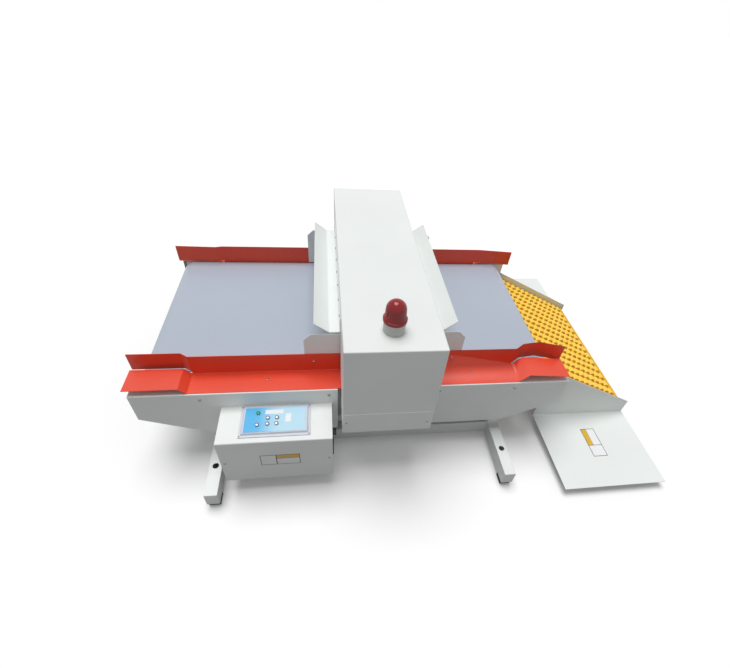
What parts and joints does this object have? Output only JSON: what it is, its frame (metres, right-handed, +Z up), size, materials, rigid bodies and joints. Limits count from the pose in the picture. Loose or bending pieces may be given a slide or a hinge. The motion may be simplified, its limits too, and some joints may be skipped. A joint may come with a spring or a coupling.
{
  "type": "conveyor metal detector",
  "caption": "Low belt conveyor through a portal-shaped metal detection head, with guide rails, control box, beacon and a sloping chute of small wheels.",
  "frame": {"origin": "on the floor, under the middle of the machine's overall length and width", "axes": "+X along the belt in the direction of travel, towards the chute; +Y across the belt, away from the control box; +Z up"},
  "size_m": [1.761, 1.248, 0.68],
  "materials": {
    "white_coat": "satin powder coat, fine orange peel",
    "red_coat": "semi-gloss powder coat",
    "belt_pvc": "smooth matt belt surface",
    "bright_steel": "fine brushed",
    "sensor_case": "moulded, matt",
    "pad_rubber": "moulded rubber",
    "beacon_grey": "moulded, smooth",
    "red_lens": "clear red moulding with upright ribs",
    "bezel_alloy": "satin anodised",
    "blue_film": "printed film with a soft gradient, no lettering",
    "green_key": "moulded, smooth",
    "bright_key": "polished",
    "black_plastic": "moulded, fine grain",
    "tray_coat": "amber powder coat",
    "yellow_wheel": "moulded wheels, smooth"
  },
  "bodies": {
    "machine": {"foot_infeed": "white_coat", "foot_outfeed": "white_coat", "stretcher_front": "white_coat", "stretcher_back": "white_coat", "pedestal_front": "white_coat", "pedestal_back": "white_coat", "side_frame_front": "white_coat", "side_frame_back": "white_coat", "cover_infeed_front": "white_coat", "cover_infeed_back": "white_coat", "cover_outfeed_front": "white_coat", "cover_outfeed_back": "white_coat", "head_shell": "white_coat", "head_panel": "white_coat", "hood_infeed": "white_coat", "hood_outfeed": "white_coat", "wing_front": "white_coat", "wing_back": "white_coat", "control_box": "white_coat", "chute_side_front": "white_coat", "chute_side_back": "white_coat", "guide_infeed_front": "red_coat", "guide_infeed_back": "red_coat", "guide_outfeed_front": "red_coat", "guide_outfeed_back": "red_coat", "pad_infeed_front": "pad_rubber", "pad_infeed_back": "pad_rubber", "pad_outfeed_front": "pad_rubber", "pad_outfeed_back": "pad_rubber", "belt": "belt_pvc", "slider_bed": "bright_steel", "lower_sensor": "sensor_case", "beacon_base": "beacon_grey", "beacon_lens": "red_lens", "panel_bezel": "bezel_alloy", "panel_face": "blue_film", "power_inlet": "black_plastic", "chute_tray": "tray_coat"},
    "drive_roller": {"drive_roller": "bright_steel"},
    "idler_roller": {"idler_roller": "bright_steel"},
    "power_key": {"power_key": "green_key"},
    "knob": {"knob": "black_plastic"},
    "key_1": {"key_1": "bright_key"},
    "key_2": {"key_2": "bright_key"},
    "key_3": {"key_3": "bright_key"},
    "key_4": {"key_4": "bright_key"},
    "key_5": {"key_5": "bright_key"},
    "wheel_row_01": {"wheel_row_01": "yellow_wheel"},
    "wheel_row_02": {"wheel_row_02": "yellow_wheel"},
    "wheel_row_03": {"wheel_row_03": "yellow_wheel"},
    "wheel_row_04": {"wheel_row_04": "yellow_wheel"},
    "wheel_row_05": {"wheel_row_05": "yellow_wheel"},
    "wheel_row_06": {"wheel_row_06": "yellow_wheel"},
    "wheel_row_07": {"wheel_row_07": "yellow_wheel"},
    "wheel_row_08": {"wheel_row_08": "yellow_wheel"},
    "wheel_row_09": {"wheel_row_09": "yellow_wheel"},
    "wheel_row_10": {"wheel_row_10": "yellow_wheel"},
    "wheel_row_11": {"wheel_row_11": "yellow_wheel"},
    "wheel_row_12": {"wheel_row_12": "yellow_wheel"},
    "wheel_row_13": {"wheel_row_13": "yellow_wheel"}
  },
  "joints": [
    {"name": "drive_roller_spin", "type": "hinge", "parent": "machine", "child": "drive_roller", "pos_m": [0.4232, 0, 0.2942], "axis": [0, 1, 0], "continuous": true},
    {"name": "idler_roller_spin", "type": "hinge", "parent": "machine", "child": "idler_roller", "pos_m": [-0.8242, 0, 0.2942], "axis": [0, 1, 0], "continuous": true},
    {"name": "power_key_press", "type": "slide", "parent": "machine", "child": "power_key", "axis": [0, 0, -1], "range_m": [0, 0.0015], "stiffness_N_per_m": 300, "springref_m": -0.001},
    {"name": "key_1_press", "type": "slide", "parent": "machine", "child": "key_1", "axis": [0, 0, -1], "range_m": [0, 0.0015], "stiffness_N_per_m": 300, "springref_m": -0.001},
    {"name": "key_2_press", "type": "slide", "parent": "machine", "child": "key_2", "axis": [0, 0, -1], "range_m": [0, 0.0015], "stiffness_N_per_m": 300, "springref_m": -0.001},
    {"name": "key_3_press", "type": "slide", "parent": "machine", "child": "key_3", "axis": [0, 0, -1], "range_m": [0, 0.0015], "stiffness_N_per_m": 300, "springref_m": -0.001},
    {"name": "key_4_press", "type": "slide", "parent": "machine", "child": "key_4", "axis": [0, 0, -1], "range_m": [0, 0.0015], "stiffness_N_per_m": 300, "springref_m": -0.001},
    {"name": "key_5_press", "type": "slide", "parent": "machine", "child": "key_5", "axis": [0, 0, -1], "range_m": [0, 0.0015], "stiffness_N_per_m": 300, "springref_m": -0.001},
    {"name": "knob_turn", "type": "hinge", "parent": "machine", "child": "knob", "pos_m": [-0.2925, -0.457, 0.206], "axis": [1, 0, 0], "range_deg": [-150, 150]},
    {"name": "wheel_row_01_spin", "type": "hinge", "parent": "machine", "child": "wheel_row_01", "pos_m": [0.50562, 0, 0.2392], "axis": [0, 1, 0], "continuous": true},
    {"name": "wheel_row_02_spin", "type": "hinge", "parent": "machine", "child": "wheel_row_02", "pos_m": [0.5333, 0, 0.2257], "axis": [0, 1, 0], "continuous": true},
    {"name": "wheel_row_03_spin", "type": "hinge", "parent": "machine", "child": "wheel_row_03", "pos_m": [0.56098, 0, 0.2122], "axis": [0, 1, 0], "continuous": true},
    {"name": "wheel_row_04_spin", "type": "hinge", "parent": "machine", "child": "wheel_row_04", "pos_m": [0.58866, 0, 0.19869], "axis": [0, 1, 0], "continuous": true},
    {"name": "wheel_row_05_spin", "type": "hinge", "parent": "machine", "child": "wheel_row_05", "pos_m": [0.61635, 0, 0.18519], "axis": [0, 1, 0], "continuous": true},
    {"name": "wheel_row_06_spin", "type": "hinge", "parent": "machine", "child": "wheel_row_06", "pos_m": [0.64403, 0, 0.17169], "axis": [0, 1, 0], "continuous": true},
    {"name": "wheel_row_07_spin", "type": "hinge", "parent": "machine", "child": "wheel_row_07", "pos_m": [0.67171, 0, 0.15819], "axis": [0, 1, 0], "continuous": true},
    {"name": "wheel_row_08_spin", "type": "hinge", "parent": "machine", "child": "wheel_row_08", "pos_m": [0.6994, 0, 0.14469], "axis": [0, 1, 0], "continuous": true},
    {"name": "wheel_row_09_spin", "type": "hinge", "parent": "machine", "child": "wheel_row_09", "pos_m": [0.72708, 0, 0.13119], "axis": [0, 1, 0], "continuous": true},
    {"name": "wheel_row_10_spin", "type": "hinge", "parent": "machine", "child": "wheel_row_10", "pos_m": [0.75476, 0, 0.11768], "axis": [0, 1, 0], "continuous": true},
    {"name": "wheel_row_11_spin", "type": "hinge", "parent": "machine", "child": "wheel_row_11", "pos_m": [0.78244, 0, 0.10418], "axis": [0, 1, 0], "continuous": true},
    {"name": "wheel_row_12_spin", "type": "hinge", "parent": "machine", "child": "wheel_row_12", "pos_m": [0.81013, 0, 0.09068], "axis": [0, 1, 0], "continuous": true},
    {"name": "wheel_row_13_spin", "type": "hinge", "parent": "machine", "child": "wheel_row_13", "pos_m": [0.83781, 0, 0.07718], "axis": [0, 1, 0], "continuous": true}
  ],
  "couplings": [
    {"joint": "idler_roller_spin", "follows": "drive_roller_spin", "ratio": 1}
  ]
}
